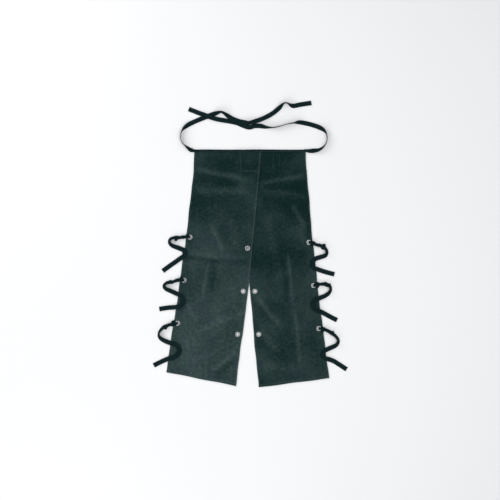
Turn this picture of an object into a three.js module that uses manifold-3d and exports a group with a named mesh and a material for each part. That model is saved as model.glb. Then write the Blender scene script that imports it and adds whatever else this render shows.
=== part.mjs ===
// Chainsaw chaps: two padded leg panels, the left lapped over the right at the waist and box-stitched
// there, a bound waist edge running out into two long tapes, and rows of eyelets with tape ties.
// The garment lies on its back, front face up. Millimetres, +Z up, +Y towards the waist; the origin
// is on the surface under the middle of the garment. X is positive towards the right of the front view.
import * as THREE from 'three';
import { mergeVertices } from 'three/addons/utils/BufferGeometryUtils.js';
import Module from 'manifold-3d';

const wasm = await Module();
wasm.setup();

// ---------------------------------------------------------------- outline
const LENGTH = 856;                // waist edge to the lowest hem corner
const HEM_SPAN = 588;              // outer hem corner to outer hem corner
const WAIST_WIDTH = 400;
const WAIST_CENTRE_X = 8;          // the waist lies a little to the right of the hems' middle
const PANEL_LAP = 84;              // how far the left panel laps the right one at the waist
const SLIT_DROP = 487;             // waist edge down to the top of the slit between the legs
const SLIT_X = 5.5;
const SLIT_GAP = 2;
// Hem corners above the lowest one, and the pull and place of the curve that draws in the outer edge.
const LEFT_HEM = { outerRise: 55, innerRise: 5, innerX: -43, edgePull: 20, pullPlace: 0.22 };
const RIGHT_HEM = { outerRise: 33, innerRise: 0, innerX: 39, edgePull: 16, pullPlace: 0.4 };

// ---------------------------------------------------------------- folds
const HIP_FOLD_DROP = 95;          // below the waist edge, under the box stitch
const KNEE_FOLD_DROP = 599;
const FOLD_GAP = 1;                // between the two halves of a panel at a fold
const FOLD_MARGIN = 8;             // the padding stops this far from a fold

// ---------------------------------------------------------------- layers
const GAP = 0.3;                   // clearance between pieces that touch
const LINING_THICKNESS = 1.3;
const SHELL_THICKNESS = 1;
const PAD_THICKNESS = 2.4;
const PAD_EDGE_INSET = 30;         // panel edge to the padded zone, clear of the eyelets
const PAD_HEM_INSET = 15;
const LEFT_PAD_SETBACK = 20;       // at the waist, padding to the hidden edge beneath the lap
const RIGHT_PAD_SETBACK = 4;       // at the waist, left panel's front edge to the right padding
const LAP_LIFT = 4;                // the left panel rides up this much where it laps the right one
const STEP_FOOT = 3;               // hidden edge to the left lining's step
const LINING_STEP = 2;             // width of the step's riser in the lining

// ---------------------------------------------------------------- waistband and box stitch
const BAND_DEPTH = 8;
const BAND_THICKNESS = 0.8;
const BAND_OVERHANG = 2;           // past each end of the waist edge
const STITCH_WIDTH = 1;
const STITCH_HEIGHT = 0.6;
const STITCH_FRONT_INSET = 5;      // from the left panel's front edge
const STITCH_HIDDEN_INSET = 8;     // from the right panel's hidden edge
const STITCH_TOP_CLEARANCE = 2;    // below the band
const STITCH_FOLD_CLEARANCE = 17;  // above the hip fold

// ---------------------------------------------------------------- eyelets
const EYELET_HOLE_RADIUS = 4.7;
const EYELET_RADIUS = 9.5;
const EYELET_WALL = 0.5;
const EYELET_CROWN = 0.9;          // height of the flange above the cloth
const BARREL_LIP = 0.8;            // how much of that is left where the flange meets the barrel
const HOLE_LIP = 0.25;             // and at the hole
const WASHER_RADIUS = 8.5;
const WASHER_THICKNESS = 0.5;
const WASHER_LIFT = 0.2;           // washer's underside above the lining's underside
const OUTER_EYELET_INSET = 14.5;
const INNER_EYELET_INSET = 17.5;
const LEFT_OUTER_DROP = 315;       // waist edge to the first eyelet of each edge
const RIGHT_OUTER_DROP = 334;
const INNER_DROP = 355;
const ROW_PITCH = 155;
const ROWS = [1, 2, 3];
const ROUND_SIDES = 12;            // facets round an eyelet and its hole

// ---------------------------------------------------------------- tapes
const TAPE_WIDTH = 15;
const TAPE_THICKNESS = 2;
const TAPE_STEP = 12;              // length of one facet along a tape

// ---------------------------------------------------------------- levels, from the surface up
const SHELL_LOW = LINING_THICKNESS + GAP;
const BORDER_TOP = SHELL_LOW + SHELL_THICKNESS;
const PAD_TOP = LINING_THICKNESS + 2 * (GAP + PAD_THICKNESS);
const SHELL_TOP = PAD_TOP + GAP + SHELL_THICKNESS;
const LAP_TOP = BORDER_TOP + LAP_LIFT;
const BAND_TOP = LAP_TOP + GAP + BAND_THICKNESS;

// ---------------------------------------------------------------- the front view's key lines
const WAIST_Y = LENGTH / 2;
const PANEL_TOP_Y = WAIST_Y - BAND_THICKNESS - GAP;
const SLIT_Y = WAIST_Y - SLIT_DROP;
const HIP_FOLD_Y = WAIST_Y - HIP_FOLD_DROP;
const KNEE_FOLD_Y = WAIST_Y - KNEE_FOLD_DROP;
const FRONT_EDGE_X = WAIST_CENTRE_X + PANEL_LAP / 2;
const HIDDEN_EDGE_X = WAIST_CENTRE_X - PANEL_LAP / 2;
const EDGE_STEPS = 6;

const at = (x, y) => new THREE.Vector2(x, y);

// ================================================================ outlines
// An edge is a list of points from the waist down to the hem.
function outerEdge(side, hem) {
  const waist = at(WAIST_CENTRE_X + side * WAIST_WIDTH / 2, WAIST_Y);
  const corner = at(side * HEM_SPAN / 2, hem.outerRise - LENGTH / 2);
  const pull = waist.clone().lerp(corner, hem.pullPlace).add(at(-side * hem.edgePull, 0));
  return new THREE.QuadraticBezierCurve(waist, pull, corner).getPoints(EDGE_STEPS);
}

function innerEdge(side, waistX, slitInset, hem) {
  const slit = at(SLIT_X + side * (SLIT_GAP / 2 + slitInset), SLIT_Y);
  return [at(waistX, WAIST_Y), slit, at(hem.innerX + side * slitInset, hem.innerRise - LENGTH / 2)];
}

const LEGS = {
  left: {
    side: -1,
    outer: outerEdge(-1, LEFT_HEM),
    inner: innerEdge(-1, FRONT_EDGE_X, 0, LEFT_HEM),
    padInner: innerEdge(-1, HIDDEN_EDGE_X - LEFT_PAD_SETBACK, PAD_EDGE_INSET, LEFT_HEM),
    outerDrop: LEFT_OUTER_DROP,
  },
  right: {
    side: 1,
    outer: outerEdge(1, RIGHT_HEM),
    inner: innerEdge(1, HIDDEN_EDGE_X, 0, RIGHT_HEM),
    padInner: innerEdge(1, FRONT_EDGE_X + RIGHT_PAD_SETBACK, PAD_EDGE_INSET, RIGHT_HEM),
    outerDrop: RIGHT_OUTER_DROP,
  },
};

const shifted = (edge, dx) => edge.map((point) => at(point.x + dx, point.y));

function edgeX(edge, y) {
  const below = Math.max(1, edge.findIndex((point, index) => index > 0 && point.y <= y));
  const [a, b] = [edge[below - 1], edge[below]];
  return a.x + (b.x - a.x) * (a.y - y) / (a.y - b.y);
}

// Keeps the part of a closed outline that is to the left of the line from a towards b.
function keepLeftOf(points, a, b) {
  const distance = (p) => (b.x - a.x) * (p.y - a.y) - (b.y - a.y) * (p.x - a.x);
  const kept = [];
  points.forEach((point, index) => {
    const next = points[(index + 1) % points.length];
    const here = distance(point);
    const there = distance(next);
    if (here >= 0) kept.push(point);
    if (here * there < 0) kept.push(point.clone().lerp(next, here / (here - there)));
  });
  return kept;
}

const keepAbove = (points, y) => keepLeftOf(points, at(-1, y), at(1, y));
const keepBelow = (points, y) => keepLeftOf(points, at(1, y), at(-1, y));

function closedOutline(leg, outer, inner) {
  return leg.side < 0 ? [...outer, ...[...inner].reverse()] : [...inner, ...[...outer].reverse()];
}

// A leg panel between two levels, with the hem as its lower edge.
function panelOutline(leg, top, bottom) {
  return keepAbove(keepBelow(closedOutline(leg, leg.outer, leg.inner), top), bottom);
}

// The padded zone of one panel section, drawn in all round by a further inset.
function padOutline(leg, top, bottom, inset) {
  const outer = shifted(leg.outer, -leg.side * (PAD_EDGE_INSET + inset));
  const inner = shifted(leg.padInner, leg.side * inset);
  const rise = PAD_HEM_INSET + inset;
  const hemEnds = [leg.outer.at(-1), leg.inner.at(-1)].sort((a, b) => a.x - b.x);
  const [hemStart, hemEnd] = hemEnds.map((point) => at(point.x, point.y + rise));
  const zone = keepLeftOf(closedOutline(leg, outer, inner), hemStart, hemEnd);
  return keepAbove(keepBelow(zone, top - FOLD_MARGIN - inset), bottom + FOLD_MARGIN + inset);
}

// ================================================================ solids
function solidOf(geometry) {
  const bare = geometry.clone();
  bare.deleteAttribute('normal');
  bare.deleteAttribute('uv');
  const merged = mergeVertices(bare);
  return new wasm.Manifold(new wasm.Mesh({
    numProp: 3,
    vertProperties: new Float32Array(merged.attributes.position.array),
    triVerts: new Uint32Array(merged.index.array),
  }));
}

function geometryOf(solid) {
  const mesh = solid.getMesh();
  const geometry = new THREE.BufferGeometry();
  geometry.setAttribute('position', new THREE.BufferAttribute(new Float32Array(mesh.vertProperties), 3));
  geometry.setIndex(new THREE.BufferAttribute(new Uint32Array(mesh.triVerts), 1));
  return geometry;
}

function plate(points, low, high) {
  const options = { depth: high - low, bevelEnabled: false };
  return new THREE.ExtrudeGeometry(new THREE.Shape(points), options).translate(0, 0, low);
}

const solidPlate = (points, low, high) => solidOf(plate(points, low, high));

function solidDisc(centre, radius, low, high) {
  const disc = new THREE.CylinderGeometry(radius, radius, high - low, ROUND_SIDES).rotateX(Math.PI / 2);
  return solidOf(disc.translate(centre.x, centre.y, (low + high) / 2));
}

// The line of the right panel's hidden edge, moved towards the left leg by an offset.
function stepLine(offset) {
  const hidden = LEGS.right.inner;
  return [at(hidden[0].x - offset, hidden[0].y), at(hidden[1].x - offset, hidden[1].y)];
}

// A sheet of the left panel: it lies low, steps up at the hidden edge and laps the right panel.
function steppedSheet(points, low, thickness, foot, riser) {
  const [footTop, footBottom] = stepLine(foot);
  const [backTop, backBottom] = stepLine(foot + riser);
  const lapping = keepLeftOf(points, backTop, backBottom);
  const lying = keepLeftOf(points, footBottom, footTop);
  const rising = keepLeftOf(lapping, footBottom, footTop);
  return solidPlate(lying, low, low + thickness)
    .add(solidPlate(rising, low, low + thickness + LAP_LIFT))
    .add(solidPlate(lapping, low + LAP_LIFT, low + LAP_LIFT + thickness));
}

// ================================================================ eyelets
function eyelets() {
  const list = [];
  for (const [legName, leg] of Object.entries(LEGS)) {
    for (const row of ROWS) {
      const outerY = WAIST_Y - leg.outerDrop - (row - 1) * ROW_PITCH;
      const innerY = WAIST_Y - INNER_DROP - (row - 1) * ROW_PITCH;
      const outerX = edgeX(leg.outer, outerY) - leg.side * OUTER_EYELET_INSET;
      const inLap = innerY > SLIT_Y;
      const lapMiddle = (edgeX(LEGS.left.inner, innerY) + edgeX(LEGS.right.inner, innerY)) / 2;
      const ownX = edgeX(leg.inner, innerY) + leg.side * INNER_EYELET_INSET;
      // The right panel's eyelet under the lap sits in the lap's middle, hidden by the left panel.
      const innerX = inLap && leg === LEGS.right ? lapMiddle : ownX;
      const lift = inLap && leg === LEGS.left ? LAP_LIFT : 0;
      list.push({ name: `${legName}_outer`, leg, row, centre: at(outerX, outerY), lift: 0 });
      list.push({ name: `${legName}_inner`, leg, row, centre: at(innerX, innerY), lift });
    }
  }
  return list;
}

const EYELETS = eyelets();

function turned(profile, eyelet) {
  const points = profile.map(([radius, height]) => at(radius, height));
  const lathe = new THREE.LatheGeometry([...points, points[0]], ROUND_SIDES).rotateX(Math.PI / 2);
  return lathe.translate(eyelet.centre.x, eyelet.centre.y, eyelet.lift);
}

function eyeletGeometry(eyelet) {
  const barrel = EYELET_HOLE_RADIUS + EYELET_WALL;
  const seat = BORDER_TOP + GAP;
  return turned([
    [EYELET_HOLE_RADIUS, WASHER_LIFT],
    [barrel, WASHER_LIFT],
    [barrel, seat],
    [EYELET_RADIUS, seat],
    [EYELET_RADIUS - EYELET_WALL / 2, seat + EYELET_CROWN / 2],
    [(barrel + EYELET_RADIUS) / 2, seat + EYELET_CROWN],
    [barrel, seat + EYELET_CROWN * BARREL_LIP],
    [EYELET_HOLE_RADIUS, seat + EYELET_CROWN * HOLE_LIP],
  ], eyelet);
}

function washerGeometry(eyelet) {
  const bore = EYELET_HOLE_RADIUS + EYELET_WALL + GAP;
  return turned([
    [bore, WASHER_LIFT],
    [WASHER_RADIUS, WASHER_LIFT],
    [WASHER_RADIUS, WASHER_LIFT + WASHER_THICKNESS],
    [bore, WASHER_LIFT + WASHER_THICKNESS],
  ], eyelet);
}

const eyeletsOn = (leg, top, bottom) => EYELETS.filter(
  (eyelet) => eyelet.leg === leg && eyelet.centre.y < top && eyelet.centre.y > bottom,
);

function pierced(solid, holes) {
  const radius = EYELET_HOLE_RADIUS + EYELET_WALL + GAP;
  return holes.reduce((rest, hole) => rest.subtract(solidDisc(hole.centre, radius, -1, SHELL_TOP)), solid);
}

// Each washer sits flush in the underside of the lining.
function recessed(solid, holes) {
  const depth = WASHER_LIFT + WASHER_THICKNESS + GAP / 2;
  return holes.reduce((rest, hole) => {
    const low = hole.lift > 0 ? hole.lift - GAP : -1;
    return rest.subtract(solidDisc(hole.centre, WASHER_RADIUS + GAP, low, hole.lift + depth));
  }, solid);
}

// ================================================================ panel sections
const SECTIONS = {
  yoke: { top: PANEL_TOP_Y, bottom: HIP_FOLD_Y + FOLD_GAP / 2, padded: false },
  upper: { top: HIP_FOLD_Y - FOLD_GAP / 2, bottom: KNEE_FOLD_Y + FOLD_GAP / 2, padded: true },
  lower: { top: KNEE_FOLD_Y - FOLD_GAP / 2, bottom: -LENGTH, padded: true },
};

const laps = (leg, section) => leg === LEGS.left && section !== SECTIONS.lower;

function liningGeometry(leg, section) {
  const top = section === SECTIONS.yoke ? WAIST_Y - BAND_DEPTH - GAP : section.top;
  const points = panelOutline(leg, top, section.bottom);
  const sheet = laps(leg, section)
    ? steppedSheet(points, 0, LINING_THICKNESS, STEP_FOOT, LINING_STEP)
    : solidPlate(points, 0, LINING_THICKNESS);
  const holes = eyeletsOn(leg, section.top, section.bottom);
  return geometryOf(recessed(pierced(sheet, holes), holes));
}

function shellGeometry(leg, section) {
  const points = panelOutline(leg, section.top, section.bottom);
  const foot = STEP_FOOT + LINING_STEP + GAP;
  let shell = laps(leg, section)
    ? steppedSheet(points, SHELL_LOW, SHELL_THICKNESS, foot, SHELL_THICKNESS)
    : solidPlate(points, SHELL_LOW, BORDER_TOP);
  if (section.padded) {
    const dome = padOutline(leg, section.top, section.bottom, 0);
    const hollow = padOutline(leg, section.top, section.bottom, SHELL_THICKNESS);
    shell = shell.add(solidPlate(dome, SHELL_LOW, SHELL_TOP));
    shell = shell.subtract(solidPlate(hollow, 0, SHELL_TOP - SHELL_THICKNESS));
  }
  return geometryOf(pierced(shell, eyeletsOn(leg, section.top, section.bottom)));
}

function padGeometry(leg, section, layer) {
  const low = LINING_THICKNESS + GAP + layer * (PAD_THICKNESS + GAP);
  const points = padOutline(leg, section.top, section.bottom, SHELL_THICKNESS + GAP);
  return plate(points, low, low + PAD_THICKNESS);
}

// ================================================================ waistband and box stitch
function bandGeometry() {
  const length = WAIST_WIDTH + 2 * BAND_OVERHANG;
  const low = WAIST_Y - BAND_DEPTH;
  const inside = WAIST_Y - BAND_THICKNESS;
  const section = new THREE.Shape([
    at(low, 0), at(WAIST_Y, 0), at(WAIST_Y, BAND_TOP), at(low, BAND_TOP),
    at(low, BAND_TOP - BAND_THICKNESS), at(inside, BAND_TOP - BAND_THICKNESS),
    at(inside, BAND_THICKNESS), at(low, BAND_THICKNESS),
  ]);
  const band = new THREE.ExtrudeGeometry(section, { depth: length, bevelEnabled: false });
  // The section is drawn in Y and Z, and extruded along X.
  band.applyMatrix4(new THREE.Matrix4().set(0, 0, 1, 0, 1, 0, 0, 0, 0, 1, 0, 0, 0, 0, 0, 1));
  return band.translate(WAIST_CENTRE_X - length / 2, 0, 0);
}

function stitchGeometry() {
  const top = WAIST_Y - BAND_DEPTH - STITCH_TOP_CLEARANCE;
  const bottom = HIP_FOLD_Y + STITCH_FOLD_CLEARANCE;
  const square = (inset) => {
    const left = (y) => edgeX(LEGS.right.inner, y) + STITCH_HIDDEN_INSET + inset;
    const right = (y) => edgeX(LEGS.left.inner, y) - STITCH_FRONT_INSET - inset;
    const [low, high] = [bottom + inset, top - inset];
    return [at(left(low), low), at(right(low), low), at(right(high), high), at(left(high), high)];
  };
  const shape = new THREE.Shape(square(0));
  shape.holes.push(new THREE.Path(square(STITCH_WIDTH)));
  const seam = new THREE.ExtrudeGeometry(shape, { depth: STITCH_HEIGHT, bevelEnabled: false });
  return seam.translate(0, 0, LAP_TOP + GAP);
}

// ================================================================ tapes
// A tape's route: each point is x, y, z of its centre line and its roll in degrees,
// 0 lying flat and 90 standing on edge. x and y are measured from where the tape leaves the garment.
class TapeRoute extends THREE.CatmullRomCurve3 {
  constructor(start, route) {
    super(route.map(([x, y, z]) => new THREE.Vector3(start.x + x, start.y + y, z)), false, 'centripetal');
    this.rolls = route.map((point) => THREE.MathUtils.degToRad(point[3]));
  }

  rollAt(u) {
    const place = this.getUtoTmapping(u) * (this.rolls.length - 1);
    const index = Math.min(Math.floor(place), this.rolls.length - 2);
    return THREE.MathUtils.lerp(this.rolls[index], this.rolls[index + 1], place - index);
  }

  computeFrenetFrames(segments) {
    const frames = { tangents: [], normals: [], binormals: [] };
    for (let i = 0; i <= segments; i += 1) {
      const tangent = this.getTangentAt(i / segments);
      const across = new THREE.Vector3(-tangent.y, tangent.x, 0).normalize();
      across.applyAxisAngle(tangent, this.rollAt(i / segments));
      frames.tangents.push(tangent);
      frames.normals.push(across);
      frames.binormals.push(new THREE.Vector3().crossVectors(tangent, across));
    }
    return frames;
  }
}

function tapeGeometry(start, route) {
  const [half, thick] = [TAPE_WIDTH / 2, TAPE_THICKNESS / 2];
  const section = new THREE.Shape([
    at(-half, -thick / 2), at(-half + thick, -thick), at(half - thick, -thick), at(half, -thick / 2),
    at(half, thick / 2), at(half - thick, thick), at(-half + thick, thick), at(-half, thick / 2),
  ]);
  const path = new TapeRoute(start, route);
  const steps = Math.round(path.getLength() / TAPE_STEP);
  return new THREE.ExtrudeGeometry(section, { steps, extrudePath: path, bevelEnabled: false });
}

// Heights of a tape's centre line where it lies on the ground or on the garment.
const ON_GROUND = TAPE_THICKNESS / 2 + 0.2;
const ON_BORDER = BORDER_TOP + 1.7;
const AT_EYELET = BORDER_TOP + 2.2;
const ON_PAD = SHELL_TOP + 1.4;

// Measured from the outer eyelet that each tie is knotted into.
const TIE_ROUTES = {
  left_tie_1: [
    [-12, 2, AT_EYELET, 0], [-22, 0, AT_EYELET, 10], [-42, -1, 6.6, 40], [-58, -2, 7.4, 58],
    [-70, -7, 7.6, 62], [-74, -18, 7.6, 62], [-66, -29, 6.6, 42], [-49, -36, 4.2, 12], [-33, -42, 3.8, 0],
    [-20, -48, ON_BORDER, 0], [-15, -57, ON_BORDER, 0], [-20, -67, ON_BORDER, 0], [-30, -74, ON_BORDER, 0],
    [-42, -82, 3.2, 0], [-56, -92, 1.6, 0], [-76, -106, ON_GROUND, 0], [-98, -122, ON_GROUND, 0],
  ],
  left_tie_2: [
    [-12, 2, AT_EYELET, 0], [-22, 0, AT_EYELET, 5], [-34, -4, AT_EYELET, 20], [-50, -7, 6.8, 45],
    [-64, -11, 7.4, 60], [-72, -21, 7.4, 60], [-65, -31, 6.4, 40], [-49, -38, 4.2, 12], [-29, -47, 5.2, 0],
    [-10, -57, 8.8, 0], [-2, -70, ON_PAD, 0], [-4, -84, ON_PAD, 0], [-15, -94, 8.2, 0], [-30, -97, 5, 0],
    [-56, -99, 1.6, 0], [-89, -104, ON_GROUND, 0],
  ],
  left_tie_3: [
    [-12, 0, AT_EYELET, 0], [-20, -3, AT_EYELET, 5], [-30, -6, AT_EYELET, 20], [-45, -12, 6.8, 45],
    [-60, -23, 7.6, 65], [-68, -38, 7.8, 78], [-63, -52, 6.6, 42], [-46, -63, 3.8, 10],
    [-28, -70, AT_EYELET, 0], [-8, -75, ON_PAD, 0], [5, -88, ON_PAD, 0], [5, -106, ON_PAD, 0],
    [-9, -120, ON_PAD, 0], [-35, -128, ON_BORDER, 0], [-60, -139, 1.5, 0], [-86, -152, ON_GROUND, 0],
  ],
  right_tie_1: [
    [12, -3, AT_EYELET, 0], [20, -6, AT_EYELET, -5], [30, -9, AT_EYELET, -20], [43, -12, 6.6, -42],
    [56, -19, 7.4, -58], [64, -33, 7.4, -58], [60, -46, 6.4, -38], [45, -52, 4, -12], [28, -57, 3.8, 0],
    [15, -65, ON_BORDER, 0], [10, -78, ON_BORDER, 0], [16, -91, ON_BORDER, 0], [31, -97, ON_BORDER, 0],
    [58, -106, 1.6, 0], [91, -115, ON_GROUND, 0],
  ],
  right_tie_2: [
    [12, 2, AT_EYELET, 0], [21, 4, AT_EYELET, -5], [32, 5, AT_EYELET, -20], [46, 4, 6.8, -48],
    [57, -2, 7.6, -62], [61, -15, 7.6, -62], [53, -29, 6.4, -40], [37, -39, 4, -12], [22, -45, 5.4, 0],
    [6, -52, ON_PAD, 0], [-4, -64, ON_PAD, 0], [-2, -77, ON_PAD, 0], [10, -87, ON_PAD, 0],
    [25, -94, 5.8, 0], [44, -104, 2.6, 0], [64, -115, ON_GROUND, 0], [84, -125, ON_GROUND, 0],
  ],
  right_tie_3: [
    [12, -2, AT_EYELET, 0], [22, -4, AT_EYELET, -5], [34, -9, 5.4, -22], [48, -18, 6.8, -45],
    [61, -28, 7.4, -58], [70, -43, 7.6, -62], [64, -58, 6.2, -38], [48, -67, 4, -12], [32, -74, 3.8, 0],
    [18, -82, ON_BORDER, 0], [12, -94, ON_BORDER, 0], [21, -106, ON_BORDER, 0], [38, -111, 4, 0],
    [55, -118, 1.8, 0], [74, -130, ON_GROUND, 0], [100, -147, ON_GROUND, 0],
  ],
};

// Measured from the end of the band that each waist tape runs on from.
const WAIST_TAPE_ROUTES = {
  left_waist_tape: [
    [-1.5, 0, 4, 0], [-9, 1, 4.2, 5], [-18, 8, 6.4, 45], [-33, 20, 8, 80], [-44, 33, 8, 90],
    [-48, 48, 8, 90], [-46, 62, 8, 90], [-40, 75, 8, 75], [-28, 87, 6.2, 35], [-13, 97, 2.6, 5],
    [15, 110, ON_GROUND, 0], [38, 119, ON_GROUND, 0], [60, 128, ON_GROUND, 0],
    [72, 132, 2.2, 5], [85, 136, 6.4, 45],
    [99, 139, 8, 70], [113, 132, 7.4, 50], [124, 124, 5.4, 20], [137, 116, 4.2, 0], [162, 106, 4.2, 0],
    [184, 101.5, 5, 15], [195, 100, 7.4, 42], [207, 101.5, 7.2, 38], [226, 107, 5.4, 6],
    [258, 120, 2.8, 0], [286, 136, 1.6, 0], [308, 154, 5.2, 25],
    [323, 169, 8, 75], [333, 172, 8, 85], [342, 168, 7.8, 75], [356, 161, 4.8, 25],
    [384, 166, 1.6, 0], [423, 172, ON_GROUND, 0],
  ],
  right_waist_tape: [
    [1.5, 0, 4, 0], [12, -1, 3.6, 0], [28, 0, 3.2, -15], [48, 4, 6.6, -50], [66, 18, 8, -80],
    [75, 37, 8, -90], [73, 60, 8, -85], [64, 73, 7, -55], [51, 82, 4.2, -15], [25, 92, 1.4, 0],
    [-4, 99, 1.9, -3], [-26, 102, 5, -35], [-42, 100, 8, -80], [-60, 97, 8, -88], [-80, 92, 8, -90],
    [-100, 86, 8, -88], [-122, 83, 8, -84], [-142, 84, 7.2, -60],
    [-164, 89, 2.4, -6], [-186, 89, ON_GROUND, 0], [-204, 84, ON_GROUND, 0],
    [-225, 90, ON_GROUND, 0], [-249, 100, ON_GROUND, 0], [-289, 108, 2, 0], [-318, 113, 3.8, 0],
    [-340, 119, 4.2, 0], [-362, 127, 3.8, 0], [-392, 138, 1.4, 0], [-422, 150, ON_GROUND, 0],
  ],
};

// ================================================================ assembly
const FINISHES = {
  canvas: { color: 0x233636, roughness: 0.72, metalness: 0 },
  lining: { color: 0x1b2829, roughness: 0.8, metalness: 0 },
  padding: { color: 0xd9d6c8, roughness: 0.95, metalness: 0 },
  tape: { color: 0x101c22, roughness: 0.7, metalness: 0 },
  thread: { color: 0x2e4041, roughness: 0.6, metalness: 0 },
  nickel: { color: 0xc9cbc8, roughness: 0.28, metalness: 1 },
};

const chaps = new THREE.Group();

function addPiece(name, geometry, finish) {
  const piece = new THREE.Mesh(geometry, new THREE.MeshStandardMaterial(FINISHES[finish]));
  piece.name = name;
  chaps.add(piece);
}

addPiece('waistband', bandGeometry(), 'tape');
addPiece('box_stitch', stitchGeometry(), 'thread');

for (const [legName, leg] of Object.entries(LEGS)) {
  for (const [sectionName, section] of Object.entries(SECTIONS)) {
    addPiece(`${legName}_${sectionName}_shell`, shellGeometry(leg, section), 'canvas');
    addPiece(`${legName}_${sectionName}_lining`, liningGeometry(leg, section), 'lining');
    if (section.padded) {
      addPiece(`${legName}_${sectionName}_back_pad`, padGeometry(leg, section, 0), 'padding');
      addPiece(`${legName}_${sectionName}_front_pad`, padGeometry(leg, section, 1), 'padding');
    }
  }
}

for (const eyelet of EYELETS) {
  addPiece(`${eyelet.name}_eyelet_${eyelet.row}`, eyeletGeometry(eyelet), 'nickel');
  addPiece(`${eyelet.name}_washer_${eyelet.row}`, washerGeometry(eyelet), 'nickel');
}

for (const [name, route] of Object.entries(TIE_ROUTES)) {
  const [side, , row] = name.split('_');
  const eyelet = EYELETS.find((one) => one.name === `${side}_outer` && one.row === Number(row));
  addPiece(name, tapeGeometry(eyelet.centre, route), 'tape');
}

const bandHalf = WAIST_WIDTH / 2 + BAND_OVERHANG;
for (const [legName, leg] of Object.entries(LEGS)) {
  const bandEnd = at(WAIST_CENTRE_X + leg.side * bandHalf, WAIST_Y - BAND_DEPTH / 2);
  const name = `${legName}_waist_tape`;
  addPiece(name, tapeGeometry(bandEnd, WAIST_TAPE_ROUTES[name]), 'tape');
}

export default chaps;
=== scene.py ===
"""Chainsaw chaps laid flat on their back: two padded leg panels, the left lapped over the right at the
waist, a bound waist edge that runs out into two long tapes, and eyelets with knotted tape ties."""

import math

import bpy
import numpy as np
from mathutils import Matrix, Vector, noise


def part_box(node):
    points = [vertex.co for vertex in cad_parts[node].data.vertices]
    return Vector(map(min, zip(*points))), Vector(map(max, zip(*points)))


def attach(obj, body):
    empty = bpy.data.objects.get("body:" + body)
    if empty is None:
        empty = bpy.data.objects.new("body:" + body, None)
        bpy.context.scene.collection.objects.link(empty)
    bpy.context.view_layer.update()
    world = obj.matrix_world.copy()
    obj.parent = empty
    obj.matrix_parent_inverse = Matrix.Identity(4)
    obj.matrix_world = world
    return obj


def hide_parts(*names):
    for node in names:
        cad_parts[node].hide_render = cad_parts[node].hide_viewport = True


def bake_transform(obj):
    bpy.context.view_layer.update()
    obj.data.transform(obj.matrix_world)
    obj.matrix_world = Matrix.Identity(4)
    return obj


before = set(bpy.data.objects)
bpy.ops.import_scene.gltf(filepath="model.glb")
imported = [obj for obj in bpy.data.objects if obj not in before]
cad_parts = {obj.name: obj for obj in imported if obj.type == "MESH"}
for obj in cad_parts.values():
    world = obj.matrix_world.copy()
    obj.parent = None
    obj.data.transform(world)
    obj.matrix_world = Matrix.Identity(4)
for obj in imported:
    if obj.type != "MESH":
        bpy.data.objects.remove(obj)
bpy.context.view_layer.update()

MM = 0.001

# ---------------------------------------------------------------- sizes that the design gives
LENGTH = 856 * MM
HEM_SPAN = 588 * MM
WAIST_WIDTH = 400 * MM
WAIST_CENTRE_X = 8 * MM
PANEL_LAP = 84 * MM
SLIT = (5.5 * MM, -59 * MM)
SLIT_GAP = 2 * MM
WAIST_Y = LENGTH / 2
HIP_FOLD_Y = WAIST_Y - 95 * MM
FRONT_EDGE_X = WAIST_CENTRE_X + PANEL_LAP / 2
HIDDEN_EDGE_X = WAIST_CENTRE_X - PANEL_LAP / 2
BAND_DEPTH = 8 * MM
TAPE_WIDTH = 15 * MM
TAPE_THICKNESS = 1.5 * MM
EYELET_HOLE = 4.7 * MM
EYELET_RADIUS = 9.5 * MM

# ---------------------------------------------------------------- heights above the floor
BACK_LIFT = 0.15 * MM
BORDER_TOP = 2.5 * MM              # both cloths at the panel's edge
HEM_RISE = 0.45 * MM               # the turned-in hem
HEM_WIDTH = 11 * MM
PAD_RISE = 4.6 * MM                # the padding, above the border
LAP_LIFT = 3.3 * MM                # the left panel over the right one
FLOOR_Z = -0.6 * MM


# ================================================================ camera, light and floor
VIEW_CENTRE = (8.3 * MM, 66.6 * MM)
VIEW_WIDTH = 1.8
CAMERA_HEIGHT = 6.0
SENSOR = 36.0


def make_camera():
    data = bpy.data.cameras.new("camera")
    data.sensor_width = SENSOR
    data.lens = SENSOR * CAMERA_HEIGHT / VIEW_WIDTH
    camera = bpy.data.objects.new("camera", data)
    camera.location = (*VIEW_CENTRE, CAMERA_HEIGHT)
    bpy.context.scene.collection.objects.link(camera)
    bpy.context.scene.camera = camera


def area_light(name, place, target, size, power):
    data = bpy.data.lights.new(name, "AREA")
    data.shape = "DISK"
    data.size = size
    data.energy = power
    light = bpy.data.objects.new(name, data)
    light.location = place
    light.rotation_euler = (Vector(target) - Vector(place)).to_track_quat("-Z", "Y").to_euler()
    bpy.context.scene.collection.objects.link(light)


def make_studio():
    world = bpy.data.worlds.new("studio")
    world.use_nodes = True
    backdrop = world.node_tree.nodes["Background"]
    backdrop.inputs["Color"].default_value = (0.96, 0.98, 1.0, 1)
    backdrop.inputs["Strength"].default_value = 0.42
    bpy.context.scene.world = world
    bpy.context.scene.view_settings.view_transform = "Standard"
    area_light("key_light", (-1.9, 1.6, 1.4), (-0.1, 0, 0), 2.0, 30)
    area_light("low_light", (-1.2, -2.1, 1.6), (0, -0.2, 0), 2.0, 26)
    area_light("top_light", (0.7, 0.1, 3.4), (0.1, 0, 0), 3.0, 60)


# ================================================================ small mesh helpers
def smooth(value, start, end):
    t = np.clip((np.asarray(value, float) - start) / (end - start), 0, 1)
    return t * t * (3 - 2 * t)


def soft_min(values, softness):
    values = np.array(values)
    return -softness * np.log(np.sum(np.exp(-values / softness), axis=0))


def noise_field(x, y, scale, seed):
    """Smooth noise from -1 to 1 with features about scale metres across."""
    flat = [noise.noise((a / scale, b / scale, seed)) for a, b in zip(np.ravel(x), np.ravel(y))]
    return np.array(flat).reshape(np.shape(x))


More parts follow.
